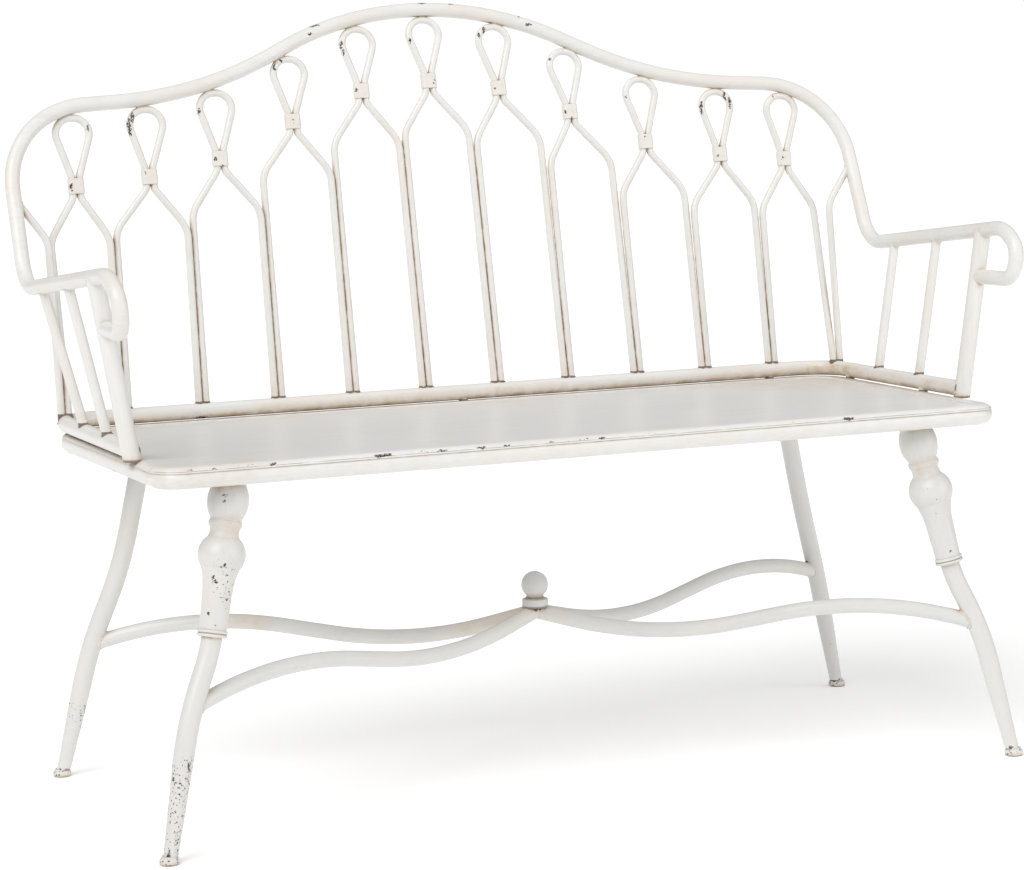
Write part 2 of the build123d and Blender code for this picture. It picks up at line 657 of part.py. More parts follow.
# ---------------------------------------------------------------- turned sleeves and rings
sleeve_top = Vector(*place(*FRONT_LEG[0]))
sleeve_axis = (sleeve_top - Vector(*place(*FRONT_LEG[1]))).normalized()
across_sleeve = Vector(0, 0, 1).cross(sleeve_axis).normalized()
profile_plane = Plane(origin=sleeve_top, x_dir=across_sleeve, z_dir=across_sleeve.cross(sleeve_axis))
turning_axis = Axis(sleeve_top, sleeve_axis)
sleeve_bottom = -SLEEVE_FOOT
with BuildPart() as leg_sleeve:
    with BuildSketch(profile_plane):
        with BuildLine():
            Polyline((0, sleeve_bottom), (0, 8), (17.8, 8))
            Line((17.8, 8), (19.2, -1))
            ThreePointArc((19.2, -1), (24.0, -22), (18.2, -40))
            Line((18.2, -40), (18.2, -42))
            ThreePointArc((18.2, -42), (19.6, -46), (18.0, -50))
            ThreePointArc((18.0, -50), (16.9, -56), (18.6, -62))
            Line((18.6, -62), (20.2, -63.5))
            ThreePointArc((20.2, -63.5), (27.5, -80), (22.4, -97))
            ThreePointArc((22.4, -97), (18.6, -112), (17.2, -128))
            Polyline((17.2, -128), (15.8, sleeve_bottom), (0, sleeve_bottom))
        make_face()
    revolve(axis=turning_axis)
    split(bisect_by=Plane.XY.offset(plate_bottom_z), keep=Keep.BOTTOM)
    add(leg_solids["front"].part, mode=Mode.SUBTRACT)
save_pair(leg_sleeve, "leg_sleeve")

ring_bottom = sleeve_bottom - RING_HEIGHT
ring_waist = RING_RADIUS - RING_GROOVE
with BuildPart() as leg_ring:
    with BuildSketch(profile_plane):
        with BuildLine():
            Polyline((0, sleeve_bottom), (0, ring_bottom), (ring_waist, ring_bottom))
            for bead_bottom in (ring_bottom, ring_bottom + RING_HEIGHT / 2):
                ThreePointArc(
                    (ring_waist, bead_bottom),
                    (RING_RADIUS, bead_bottom + RING_HEIGHT / 4),
                    (ring_waist, bead_bottom + RING_HEIGHT / 2),
                )
            Line((ring_waist, sleeve_bottom), (0, sleeve_bottom))
        make_face()
    revolve(axis=turning_axis)
    add(leg_solids["front"].part, mode=Mode.SUBTRACT)
save_pair(leg_ring, "leg_ring")

# ---------------------------------------------------------------- stretcher
hub = Vector(0, BACK_Y - STRETCHER_FRONT, STRETCHER_HUB_Z)
with BuildPart() as stud_hole:
    with BuildSketch(Plane(origin=(hub.X, hub.Y, STUD_BOTTOM_Z))):
        Circle(STUD / 2)
    extrude(amount=CAP_TOP_Z - STUD_BOTTOM_Z)


def stretcher_route(corners):
    """From a leg's axis, up over a crest, down through a dip and up to the hub."""
    upper = Vector(*place(*corners[1]))
    lower = Vector(*place(*corners[2]))
    start = upper + (lower - upper) * ((upper.Z - STRETCHER_LEG_Z) / (upper.Z - lower.Z))
    along = Vector(hub.X - start.X, hub.Y - start.Y, 0).normalized()
    points = [start]
    for distance, height in (STRETCHER_CREST, STRETCHER_DIP):
        points.append(Vector(start.X, start.Y, height) + along * distance)
    points.append(hub)
    return route_of([tuple(p) for p in points], [STRETCHER_CREST_RADIUS, STRETCHER_DIP_RADIUS])


QUARTER = 700.0           # side of the block that mitres an arm at the hub
arm_solids = []
for end, corners, behind in (("front", FRONT_LEG, -1), ("rear", REAR_LEG, 1)):
    arm_line = stretcher_route(corners)
    with BuildPart() as quarter:
        with BuildSketch(Plane(origin=hub)):
            with Locations((QUARTER / 2, behind * QUARTER / 2)):
                Rectangle(QUARTER, QUARTER)
        extrude(amount=QUARTER / 4, both=True)
    with BuildPart() as arm_solid:
        add(bent_tube(arm_line, STRETCHER_TUBE).part)
        add(quarter.part, mode=Mode.INTERSECT)
    arm_solids.append(both_sides(arm_solid))
    with BuildPart() as stretcher_arm:
        add(bent_tube(arm_line, STRETCHER_TUBE, STRETCHER_WALL).part)
        add(leg_solids[end].part, mode=Mode.SUBTRACT)
        add(quarter.part, mode=Mode.INTERSECT)
        add(stud_hole.part, mode=Mode.SUBTRACT)
    save_pair(stretcher_arm, f"stretcher_{end}")

CAP_THICKNESS = 10.5
with BuildPart() as stretcher_cap:
    with BuildSketch(Plane(origin=(hub.X, hub.Y, CAP_TOP_Z - CAP_THICKNESS))):
        Circle(CAP_DIAMETER / 2)
        Circle(STUD / 2, mode=Mode.SUBTRACT)
    extrude(amount=CAP_THICKNESS)
    fillet(stretcher_cap.faces().sort_by(Axis.Z)[-1].outer_wire().edges(), radius=1.5)
    for arm_solid in arm_solids:
        add(arm_solid.part, mode=Mode.SUBTRACT)
save(stretcher_cap, "stretcher_cap")

ball_radius = BALL_DIAMETER / 2
with BuildPart() as finial:
    with BuildSketch(Plane(origin=(hub.X, hub.Y, 0), x_dir=(1, 0, 0), z_dir=(0, -1, 0))):
        with BuildLine():
            Polyline((0, BALL_Z + ball_radius), (0, STUD_BOTTOM_Z), (STUD / 2, STUD_BOTTOM_Z))
            Polyline((STUD / 2, STUD_BOTTOM_Z), (STUD / 2, CAP_TOP_Z), (NECK_RADIUS + NECK_FLARE, CAP_TOP_Z))
            neck_top = BALL_Z - (ball_radius**2 - NECK_RADIUS**2) ** 0.5
            Line((NECK_RADIUS + NECK_FLARE, CAP_TOP_Z), (NECK_RADIUS, neck_top))
            ThreePointArc((NECK_RADIUS, neck_top), (ball_radius, BALL_Z), (0, BALL_Z + ball_radius))
        make_face()
    revolve(axis=Axis((hub.X, hub.Y, 0), (0, 0, 1)))
save(finial, "finial")

print("written", len(os.listdir("parts")), "parts")
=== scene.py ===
"""Looks of the garden bench: worn off-white paint on steel, in a pale studio.

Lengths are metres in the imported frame: X along the bench, +Y to the back, +Z up.
"""

from math import cos, pi, sin

import bmesh
import bpy
import numpy as np
from mathutils import Matrix, Vector, noise
from mathutils.bvhtree import BVHTree


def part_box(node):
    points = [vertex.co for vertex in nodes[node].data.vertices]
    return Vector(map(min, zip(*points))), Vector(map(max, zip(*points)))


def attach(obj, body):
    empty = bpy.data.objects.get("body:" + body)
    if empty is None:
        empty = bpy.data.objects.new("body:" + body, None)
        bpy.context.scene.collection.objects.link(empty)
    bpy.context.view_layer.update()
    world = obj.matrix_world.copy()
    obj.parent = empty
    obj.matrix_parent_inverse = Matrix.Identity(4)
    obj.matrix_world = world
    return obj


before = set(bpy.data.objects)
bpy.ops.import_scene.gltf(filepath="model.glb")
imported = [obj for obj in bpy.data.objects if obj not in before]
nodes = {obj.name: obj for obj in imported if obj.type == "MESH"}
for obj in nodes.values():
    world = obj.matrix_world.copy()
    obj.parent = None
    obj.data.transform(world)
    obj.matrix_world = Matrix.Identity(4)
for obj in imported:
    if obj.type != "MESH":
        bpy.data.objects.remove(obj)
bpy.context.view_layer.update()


# ---------------------------------------------------------------- places worked out from the frame
def low(name):
    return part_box(name)[0]


def high(name):
    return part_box(name)[1]


SEAT_TOP = high("seat_panel").z
LIP_Z = low("seat_panel").z
RAIL_TOP = high("seat_rail").z
RAIL_BOTTOM = low("seat_rail").z
BACK_Y = high("seat_rail").y - (RAIL_TOP - RAIL_BOTTOM) / 2
HUB_Z = high("stretcher_cap").z
HUB_Y = (low("stretcher_cap").y + high("stretcher_cap").y) / 2


# ---------------------------------------------------------------- shapes read from the frame
def mesh_of(name):
    """A part's mesh with its split corners joined again."""
    mesh = bmesh.new()
    mesh.from_mesh(nodes[name].data)
    bmesh.ops.remove_doubles(mesh, verts=mesh.verts, dist=0.00001)
    return mesh


def joint_rims(name, partner, reach=0.0005):
    """The closed outlines of a part's ends that touch its partner, outermost ones only."""
    mesh = mesh_of(name)
    other = mesh_of(partner)
    surface = BVHTree.FromBMesh(other)
    other.free()
    near = {v for v in mesh.verts if surface.find_nearest(v.co, reach)[0] is not None}
    touching = {f for f in mesh.faces if all(v in near for v in f.verts)}
    neighbours = {}
    for edge in mesh.edges:
        if sum(f in touching for f in edge.link_faces) == 1:
            first, second = edge.verts
            neighbours.setdefault(first, []).append(second)
            neighbours.setdefault(second, []).append(first)
    rims = []
    unused = set(neighbours)
    while unused:
        chain = [min(unused, key=lambda v: v.index)]
        unused.discard(chain[0])
        while True:
            onward = [v for v in neighbours[chain[-1]] if v in unused]
            if not onward:
                break
            chain.append(onward[0])
            unused.discard(onward[0])
        if len(chain) > 7:
            points = [v.co.copy() for v in chain]
            centre = sum(points, Vector()) / len(points)
            spread = max((p - centre).length for p in points)
            rims.append((centre, spread, points))
    mesh.free()
    return [
        points
        for centre, spread, points in rims
        if not any((centre - c).length < 0.006 and spread < s - 0.0005 for c, s, _ in rims)
    ]


# ---------------------------------------------------------------- node graph helper
class Graph:
    """A material's node tree, with one short method for each kind of step."""

    def __init__(self, name):
        self.material = bpy.data.materials.new(name)
        self.material.use_nodes = True
        self.tree = self.material.node_tree
        self.tree.nodes.clear()
        self.place = self.add("ShaderNodeTexCoord").outputs["Object"]
        self.normal = self.add("ShaderNodeNewGeometry").outputs["Normal"]

    def add(self, kind, **settings):
        node = self.tree.nodes.new(kind)
        for key, value in settings.items():
            setattr(node, key, value)
        return node

    def feed(self, socket, value):
        if isinstance(value, bpy.types.NodeSocket):
            self.tree.links.new(value, socket)
        else:
            socket.default_value = value

    def math(self, operation, first, second=0.0, clamp=False):
        node = self.add("ShaderNodeMath", operation=operation, use_clamp=clamp)
        self.feed(node.inputs[0], first)
        self.feed(node.inputs[1], second)
        return node.outputs[0]

    def product(self, *values):
        result = values[0]
        for value in values[1:]:
            result = self.math("MULTIPLY", result, value)
        return result

    def either(self, *values):
        """The largest of several masks."""
        result = values[0]
        for value in values[1:]:
            result = self.math("MAXIMUM", result, value)
        return result

    def band(self, value, start, end):
        """0 at start, 1 at end, smooth between them. End may be below start."""
        node = self.add("ShaderNodeMapRange", interpolation_type="SMOOTHSTEP")
        self.feed(node.inputs["Value"], value)
        rising = start < end
        node.inputs["From Min"].default_value = start if rising else end
        node.inputs["From Max"].default_value = end if rising else start
        node.inputs["To Min"].default_value = 0.0 if rising else 1.0
        node.inputs["To Max"].default_value = 1.0 if rising else 0.0
        return node.outputs["Result"]

    def axis(self, vector, name):
        node = self.add("ShaderNodeSeparateXYZ")
        self.feed(node.inputs[0], vector)
        return node.outputs[name]

    def stretched(self, factors, shift=(0, 0, 0)):
        """The place in the bench, scaled along each axis and shifted."""
        node = self.add("ShaderNodeMapping")
        self.feed(node.inputs["Vector"], self.place)
        node.inputs["Scale"].default_value = factors
        node.inputs["Location"].default_value = shift
        return node.outputs[0]

    def noise(self, scale, detail=2.0, roughness=0.5, place=None, distortion=0.0):
        node = self.add("ShaderNodeTexNoise")
        self.feed(node.inputs["Vector"], place or self.place)
        node.inputs["Scale"].default_value = scale
        node.inputs["Detail"].default_value = detail
        node.inputs["Roughness"].default_value = roughness
        node.inputs["Distortion"].default_value = distortion
        return node.outputs["Fac"]

    def crevice(self, distance, start=0.92, end=0.55):
        """1 deep in a corner where surfaces face each other, 0 in the open."""
        node = self.add("ShaderNodeAmbientOcclusion", samples=6)
        node.inputs["Distance"].default_value = distance
        return self.band(node.outputs["AO"], start, end)

    def distance(self, place, centre, stretch):
        """How far a place is from a centre, with each axis scaled."""
        apart = self.add("ShaderNodeVectorMath", operation="SUBTRACT")
        self.feed(apart.inputs[0], place)
        apart.inputs[1].default_value = centre
        scaled = self.add("ShaderNodeVectorMath", operation="MULTIPLY")
        self.feed(scaled.inputs[0], apart.outputs[0])
        scaled.inputs[1].default_value = stretch
        length = self.add("ShaderNodeVectorMath", operation="LENGTH")
        self.feed(length.inputs[0], scaled.outputs[0])
        return length.outputs["Value"]

    def spot(self, centre, radius, stretch=(1, 1, 1)):
        """A soft ball-shaped mask around a place, wider along an axis with a small stretch factor."""
        return self.band(self.distance(self.place, centre, stretch), radius, radius * 0.35)

    def marks(self, places):
        """1 inside small marks with ragged edges; each is a centre, a radius and a stretch."""
        jitter = self.add("ShaderNodeTexNoise")
        self.feed(jitter.inputs["Vector"], self.place)
        jitter.inputs["Scale"].default_value = 260.0
        jitter.inputs["Detail"].default_value = 3.0
        offset = self.add("ShaderNodeVectorMath", operation="MULTIPLY_ADD")
        self.feed(offset.inputs[0], jitter.outputs["Color"])
        offset.inputs[1].default_value = (0.008, 0.008, 0.008)
        offset.inputs[2].default_value = (-0.004, -0.004, -0.004)
        moved = self.add("ShaderNodeVectorMath", operation="ADD")
        self.feed(moved.inputs[0], self.place)
        self.feed(moved.inputs[1], offset.outputs[0])
        masks = []
        for centre, radius, stretch in places:
            far = self.distance(moved.outputs[0], centre, stretch)
            masks.append(self.band(far, radius * 0.92, radius * 0.75))
        pitted = self.band(self.noise(620.0, 2.0), 0.36, 0.46)
        return self.product(self.either(*masks), pitted)

    def mix(self, share, first, second):
        node = self.add("ShaderNodeMix", data_type="RGBA")
        self.feed(node.inputs["Factor"], share)
        for socket, colour in ((node.inputs[6], first), (node.inputs[7], second)):
            self.feed(socket, (*colour, 1.0) if isinstance(colour, tuple) else colour)
        return node.outputs[2]

    def shader(self, colour, roughness, height, metallic=0.0, bump=1.0, specular=0.5):
        """The finished surface; height is in metres of relief."""
        relief = self.add("ShaderNodeBump")
        relief.inputs["Strength"].default_value = bump
        relief.inputs["Distance"].default_value = 1.0
        self.feed(relief.inputs["Height"], height)
        principled = self.add("ShaderNodeBsdfPrincipled")
        self.feed(principled.inputs["Base Color"], colour)
        self.feed(principled.inputs["Roughness"], roughness)
        self.feed(principled.inputs["Metallic"], metallic)
        principled.inputs["Specular IOR Level"].default_value = specular
        self.feed(principled.inputs["Normal"], relief.outputs[0])
        output = self.add("ShaderNodeOutputMaterial")
        self.tree.links.new(principled.outputs[0], output.inputs["Surface"])
        return self.material


# ---------------------------------------------------------------- worn paint
WHITE = (0.78, 0.775, 0.755)
WARM_WHITE = (0.77, 0.725, 0.67)
# glaze colours, also used as painted shade in corners, gaps and on the tubes' right sides
GLAZE_AND_SHADE = (0.50, 0.39, 0.27)
PALE_GLAZE_AND_SHADE = (0.66, 0.56, 0.44)
DARK_GLAZE_AND_SHADE = (0.095, 0.062, 0.042)
STEEL = (0.042, 0.033, 0.030)
RUST = (0.12, 0.065, 0.042)
ALONG_X = (0.12, 1, 1)
UPRIGHT = (1, 1, 0.12)


def worn_paint(
    name,
    grain=ALONG_X,
    white=WHITE,
    warm=WARM_WHITE,
    warmth=0.5,
    glaze_and_shade_depth=0.9,
    dark_depth=0.75,
    chips=(),
    specks=None,
    stains_and_shade=None,
    lines=None,
):
    """Brushed off-white paint with warm glaze and painted shade in its corners, and chips down to dark steel.

    chips are places with their own mark: centre, radius and stretch. specks, stains_and_shade and lines
    are functions of the graph that give masks: how thickly small flecks lie, where glaze and painted shade lie
    and where dark glaze and dark painted shade lie.
    """
    g = Graph(name)
    cloud = g.noise(9.0, 3.0, 0.55)
    brushing = g.noise(420.0, 4.0, 0.6, place=g.stretched(grain))
    peel = g.noise(900.0, 2.0)

    long_grain = tuple(1 if share == 1 else 0.04 for share in grain)
    streaks = g.noise(150.0, 3.0, 0.6, place=g.stretched(long_grain))

    body = g.mix(g.product(g.band(cloud, 0.35, 0.72), warmth), white, warm)
    body = g.mix(g.product(g.band(brushing, 0.45, 0.8), 0.14), body, (0.62, 0.58, 0.52))
    body = g.mix(g.product(g.band(streaks, 0.48, 0.75), 0.22), body, (0.60, 0.58, 0.55))

    # glaze and painted shade laid into the corners by an occlusion mask, and wherever stains_and_shade says
    ragged = g.band(g.noise(70.0, 4.0, 0.6), 0.25, 0.7)
    corner = g.product(g.crevice(0.012), g.math("ADD", g.product(ragged, 0.6), 0.4))
    glaze_and_shade = g.product(corner, glaze_and_shade_depth)
    if stains_and_shade:
        glaze_and_shade = g.either(glaze_and_shade, g.product(stains_and_shade(g), g.math("ADD", g.product(ragged, 0.6), 0.4)))
    body = g.mix(g.band(glaze_and_shade, 0.0, 0.9), body, PALE_GLAZE_AND_SHADE)
    body = g.mix(g.product(g.band(glaze_and_shade, 0.45, 1.0), 0.8), body, GLAZE_AND_SHADE)
    # dark glaze colour as painted shade deep in corners, from a short occlusion mask, and wherever lines says
    deep = g.product(g.crevice(0.004, 0.58, 0.22), ragged, dark_depth)
    if lines:
        deep = g.either(deep, lines(g))
    body = g.mix(g.product(deep, 0.9), body, DARK_GLAZE_AND_SHADE)

    # chips: marks with ragged edges, and small flecks
    bare = g.marks(chips) if chips else 0.0
    if specks:
        fleck = g.noise(330.0, 3.0, 0.55, distortion=0.3)
        shortfall = g.math("SUBTRACT", 0.80, g.product(specks(g), 0.19))
        level = g.math("SUBTRACT", fleck, shortfall)
        bare = g.either(bare, g.band(level, 0.0, 0.02))
        body = g.mix(g.product(g.band(level, -0.03, 0.0), 0.4), body, PALE_GLAZE_AND_SHADE)
    rust = g.mix(g.band(g.noise(300.0), 0.45, 0.7), STEEL, RUST)
    colour = g.mix(bare, body, rust)

    roughness = g.math("ADD", g.product(brushing, 0.18), 0.24)
    roughness = g.math("ADD", roughness, g.product(bare, 0.22))
    height = g.product(brushing, 0.00005)
    height = g.math("ADD", height, g.product(peel, 0.00003))
    height = g.math("SUBTRACT", height, g.product(bare, 0.00022))
    return g.shader(colour, roughness, height)


def towards_seat(g):
    """1 on surfaces that face the middle of the seat, 0 on those that face away."""
    inward = g.add("ShaderNodeVectorMath", operation="SUBTRACT")
    inward.inputs[0].default_value = (0, -0.05, SEAT_TOP - 0.12)
    g.feed(inward.inputs[1], g.place)
    direction = g.add("ShaderNodeVectorMath", operation="NORMALIZE")
    g.feed(direction.inputs[0], inward.outputs[0])
    facing = g.add("ShaderNodeVectorMath", operation="DOT_PRODUCT")
    g.feed(facing.inputs[0], direction.outputs[0])
    g.feed(facing.inputs[1], g.normal)
    return g.band(facing.outputs["Value"], 0.0, 0.8)


def facing_right(g):
    return g.band(g.axis(g.normal, "X"), 0.1, 0.9)


def rail_painted_shade(g):
    """Painted shade in warm glaze colour on the rail's seat-facing side, thickest in its back right corner."""
    patchy = g.band(g.noise(16.0, 3.0), 0.3, 0.7)
    share = g.math("ADD", g.product(patchy, 0.25), 0.34)
    corner = g.spot((0.50, BACK_Y - 0.03, RAIL_BOTTOM), 0.16)
    return g.product(towards_seat(g), g.math("ADD", share, g.product(corner, 0.3), clamp=True))


def rail_lines(g):
    """A thin dark line of painted contact shade where the rail meets the seat's border."""
    z = g.axis(g.place, "Z")
    return g.product(g.band(z, RAIL_BOTTOM + 0.0022, RAIL_BOTTOM + 0.0004), 0.9)


def rod_stains_and_shade(g):
    """Glaze that stands above the rail, with painted shade between the rods and a thinner wash of painted
    shade on their right side.
    """
    z = g.axis(g.place, "Z")
    foot = g.band(z, RAIL_TOP + 0.036, RAIL_TOP + 0.003)
    patchy = g.band(g.noise(28.0, 3.0), 0.35, 0.75)
    side = g.product(facing_right(g), g.math("ADD", g.product(patchy, 0.40), 0.32))
    between = g.crevice(0.016, 0.9, 0.5)
    return g.either(g.product(foot, between, 0.95), g.product(foot, 0.42), side, g.product(between, 0.6))


def rod_lines(g):
    """A nearly black ring round the foot of each rod: bare weld, with painted contact shade."""
    z = g.axis(g.place, "Z")
    ring = g.band(z, RAIL_TOP + 0.0028, RAIL_TOP + 0.0016)
    return g.product(ring, g.band(g.noise(160.0, 2.0), 0.20, 0.40))


def shade_right(g):
    """Painted shade: a thin wash of glaze colour on the right side of the tubes."""
    patchy = g.band(g.noise(12.0, 3.0), 0.35, 0.75)
    return g.product(facing_right(g), g.math("ADD", g.product(patchy, 0.3), 0.12))


def post_painted_shade(g):
    # painted shade on the right side and at the post's foot just above the seat
    z = g.axis(g.place, "Z")
    return g.either(shade_right(g), g.product(g.band(z, SEAT_TOP + 0.010, SEAT_TOP), 0.8))


def post_lines(g):
    # a thin dark line of painted contact shade round the post's foot
    z = g.axis(g.place, "Z")
    return g.product(g.band(z, SEAT_TOP + 0.0026, SEAT_TOP + 0.0008), 0.8)


def seat_painted_shade(g):
    """Painted shade in glaze colours in the gaps round the rail's foot, in the back right corner, on the front
    left corner and along the bottom of the front lip.
    """
    x = g.axis(g.place, "X")
    y = g.axis(g.place, "Y")
    z = g.axis(g.place, "Z")
    on_top = g.band(z, SEAT_TOP - 0.005, SEAT_TOP - 0.001)
    left_gap = g.product(g.band(x, -0.528, -0.545), g.band(y, -0.22, -0.16), on_top, 0.9)
    side_shade = g.product(g.band(x, -0.53, -0.55), g.band(y, -0.24, -0.16), 0.14)
    right_gap = g.product(g.band(x, 0.518, 0.534), g.band(y, -0.24, 0.05), 0.75)
    back_gap = g.product(g.band(y, BACK_Y - 0.020, BACK_Y - 0.008), on_top, 0.8)
    corner = g.product(g.spot((0.47, BACK_Y - 0.06, SEAT_TOP), 0.15), 0.45)
    front_corner = (low("seat_panel").x + 0.05, low("seat_panel").y, LIP_Z + 0.008)
    front_left = g.product(g.spot(front_corner, 0.13, (0.8, 1, 1.6)), 0.40)
    front_edge = g.product(g.band(z, LIP_Z + 0.003, LIP_Z), 0.25)
    return g.either(left_gap, side_shade, right_gap, back_gap, corner, front_left, front_edge)


def seat_lines(g):
    """The thin dark seam where the flat sheet turns down along the front."""
    y = g.axis(g.place, "Y")
    z = g.axis(g.place, "Z")
    wander = g.math("MULTIPLY", g.math("SUBTRACT", g.noise(20.0, 2.0), 0.5), 0.0008)
    from_line = g.math("ABSOLUTE", g.math("ADD", g.math("SUBTRACT", z, SEAM_Z), wander))
    broken = g.band(g.noise(45.0, 3.0), 0.28, 0.55)
    seam = g.product(g.band(from_line, 0.0006, 0.0002), broken, 0.55)
    return g.product(seam, g.band(y, -0.22, -0.27))


def seat_specks(g):
    """Small flecks that gather along the front seam."""
    z = g.axis(g.place, "Z")
    y = g.axis(g.place, "Y")
    along = g.band(g.noise(11.0, 2.0), 0.42, 0.62)
    off_line = g.math("ABSOLUTE", g.math("SUBTRACT", z, SEAM_Z + 0.0015))
    edge = g.product(g.band(off_line, 0.0018, 0.0006), g.band(y, -0.22, -0.27))
    return g.product(edge, along, 1.1)


def leg_specks(g):
    """Flecks on the lower legs, thickest on the front left one."""
    z = g.axis(g.place, "Z")
    x = g.axis(g.place, "X")
    y = g.axis(g.place, "Y")
    low_down = g.band(z, 0.135, 0.115)
    front_left = g.product(g.band(x, -0.40, -0.45), g.band(y, -0.1, -0.2), low_down, 1.0)
    rear_left = g.product(g.spot(inside("leg_rear_left", 0.2, 0.8, 0.18), 0.035), 1.0)
    elsewhere = g.product(g.band(z, 0.16, 0.10), 0.42)
    ankle = g.product(g.band(z, 0.016, 0.012), 0.9)
    return g.either(front_left, rear_left, elsewhere, ankle)


def leg_stains_and_shade(g):
    """Glaze colours: painted shade on the right side and under and behind the crossing, patches on the back
    arms and a patch on the rear left stretcher.
    """
    y = g.axis(g.place, "Y")
    crossing = g.product(g.spot((0.0, HUB_Y, HUB_Z - 0.02), 0.07), 0.4)
    behind = g.product(g.spot((-0.05, HUB_Y + 0.03, HUB_Z - 0.02), 0.09), 0.5)
    patch = g.product(g.spot(inside("stretcher_rear_left", 0.35, 0.65, 0.6), 0.05), 0.55)
    back_arms = g.product(g.band(y, HUB_Y, HUB_Y + 0.05), g.band(g.noise(8.0, 2.0), 0.4, 0.7), 0.3)
    return g.either(shade_right(g), crossing, behind, patch, back_arms)


def casting_specks(g):
    """Flecks on the swellings of the turned sleeves, thicker on the left one, and on the feet."""
    x = g.axis(g.place, "X")
    z = g.axis(g.place, "Z")
    left = g.product(g.spot(inside("leg_sleeve_left", 0.4, 0.2, 0.35), 0.055, (2.2, 1, 1)), 0.95)
    ball = g.product(g.spot(inside("leg_sleeve_left", 0.6, 0.3, 0.88), 0.014), 1.0)
    right_side = g.product(g.band(x, 0.40, 0.45), 0.35)
    feet = g.product(g.band(z, 0.012, 0.009), 1.0)
    return g.either(left, ball, right_side, feet)


def casting_painted_shade(g):
    # painted shade on the right side, in the sleeves' waists and along the bottoms of the feet
    z = g.axis(g.place, "Z")
    waist = g.product(g.spot(inside("leg_sleeve_left", 0.6, 0.3, 0.70), 0.026), 0.55)
    right_waist = g.product(g.spot(inside("leg_sleeve_right", 0.4, 0.3, 0.70), 0.026), 0.55)
    under = g.product(g.band(z, 0.0035, 0.0), 0.8)
    return g.either(shade_right(g), waist, right_waist, under)


def casting_lines(g):
    """Dark glaze and painted shade in the turned grooves, from an occlusion mask."""
    return g.product(g.crevice(0.006, 0.80, 0.45), 0.6)


def cap_lines(g):
    """Dark painted shade under the cap and round the finial's neck."""
    z = g.axis(g.place, "Z")
    neck = g.band(g.math("ABSOLUTE", g.math("SUBTRACT", z, HUB_Z + 0.002)), 0.0022, 0.0008)
    under = g.band(z, HUB_Z - 0.0075, HUB_Z - 0.0095)
    return g.product(g.either(neck, under), 0.75)


def plain_metal(name, colour, roughness):
    g = Graph(name)
    grey = g.noise(60.0, 3.0)
    scratches = g.noise(700.0, 3.0, 0.6, place=g.stretched((1, 0.1, 1)))
    dulled = tuple(c * 0.6 for c in colour)
    tone = g.mix(g.band(grey, 0.35, 0.7), colour, dulled)
    rough = g.math("ADD", g.product(scratches, 0.25), roughness)
    return g.shader(tone, rough, g.product(scratches, 0.00003), metallic=1.0)


def assign(material, *names):
    for name in names:
        mesh = nodes[name].data
        mesh.materials.clear()
        mesh.materials.append(material)


def named(start):
    return [name for name in nodes if name.startswith(start)]


# ---------------------------------------------------------------- chips down to the steel
SEAM_Z = SEAT_TOP - 0.0046
TALL = (1, 1, 0.35)
WIDE = (0.35, 1, 1)
ROUND = (1, 1, 1)
TINY, SMALL, MEDIUM, LARGE = 0.0013, 0.0019, 0.0027, 0.0034
FROM_LEFT = Vector((0.37, 0.93, 0)).normalized()    # level, from the front left
FROM_FRONT = Vector((0, 1, 0))
THROAT_DOWN = 0.090       # from a loop's top to about the middle of its collar
COLLAR_REACH = 0.014

surfaces = {}


def surface_of(name):
    if name not in surfaces:
        mesh = mesh_of(name)
        surfaces[name] = BVHTree.FromBMesh(mesh)
        mesh.free()
    return surfaces[name]


def seen_on(name, z, across, view=FROM_LEFT, middle=None, reach=None):
    """The place on a part at a height, and at a share of what is seen of it there, left to right."""
    size = high(name) - low(name)
    middle = middle or (low(name) + high(name)) / 2
    reach = reach or Vector((size.x, size.y, 0)).length / 2
    sideways = Vector((view.y, -view.x, 0))
    hits = []
    for offset in np.linspace(-reach, reach, 300):
        start = Vector((middle.x, middle.y, z)) + sideways * float(offset) - view * 2
        hit = surface_of(name).ray_cast(start, view)[0]
        if hit is not None:
            hits.append(hit)
    return hits[round(across * (len(hits) - 1))]


def loop_chips(number, *chips):
    """Each chip is how far below the loop's top, how far across and how big."""
    name = f"back_loop_{number:02d}"
    return [(seen_on(name, high(name).z - down, across), size, TALL) for down, across, size in chips]


def collar_points(number):
    """The corners of one loop's collar; all the collars are one node."""
    loop = f"back_loop_{number:02d}"
    throat = seen_on(loop, high(loop).z - THROAT_DOWN, 0.5)
    corners = [v.co for v in nodes["loop_collars"].data.vertices]
    return [p for p in corners if abs(p.x - throat.x) < COLLAR_REACH]


def collar_chips(number, *chips):
    """Each chip is how far below the collar's middle, how far across and how big."""
    points = collar_points(number)
    middle = sum(points, Vector()) / len(points)
    return [
        (seen_on("loop_collars", middle.z - down, across, middle=middle, reach=COLLAR_REACH), size, ROUND)
        for down, across, size in chips
    ]


def throat_chip(number):
    """A small chip between the two rods, just under their collar."""
    under = min(p.z for p in collar_points(number)) - 0.003
    return (seen_on(f"back_loop_{number:02d}", under, 0.5), SMALL, ROUND)


def bow_chip(number, size, raised=0.09):
    """A chip on the top tube; 4.5 is halfway from above the fourth loop to above the fifth."""
    first = int(number)
    share = number - first
    tops = []
    for loop in (first, first + 1):
        points = [v.co for v in nodes[f"back_loop_{loop:02d}"].data.vertices]
        tops.append(max(points, key=lambda p: p.z))
    top = tops[0] * (1 - share) + tops[1] * share
    place = surface_of("top_bow").find_nearest(top + Vector((0, -0.03, raised)))[0]
    return (place, size, WIDE)


def joint_top(name, partner):
    return max((point for rim in joint_rims(name, partner) for point in rim), key=lambda p: p.z)


def inside(name, across, deep, up):
    """A place in a part's box, by its shares from left, front and bottom."""
    size = high(name) - low(name)
    return low(name) + Vector((size.x * across, size.y * deep, size.z * up))


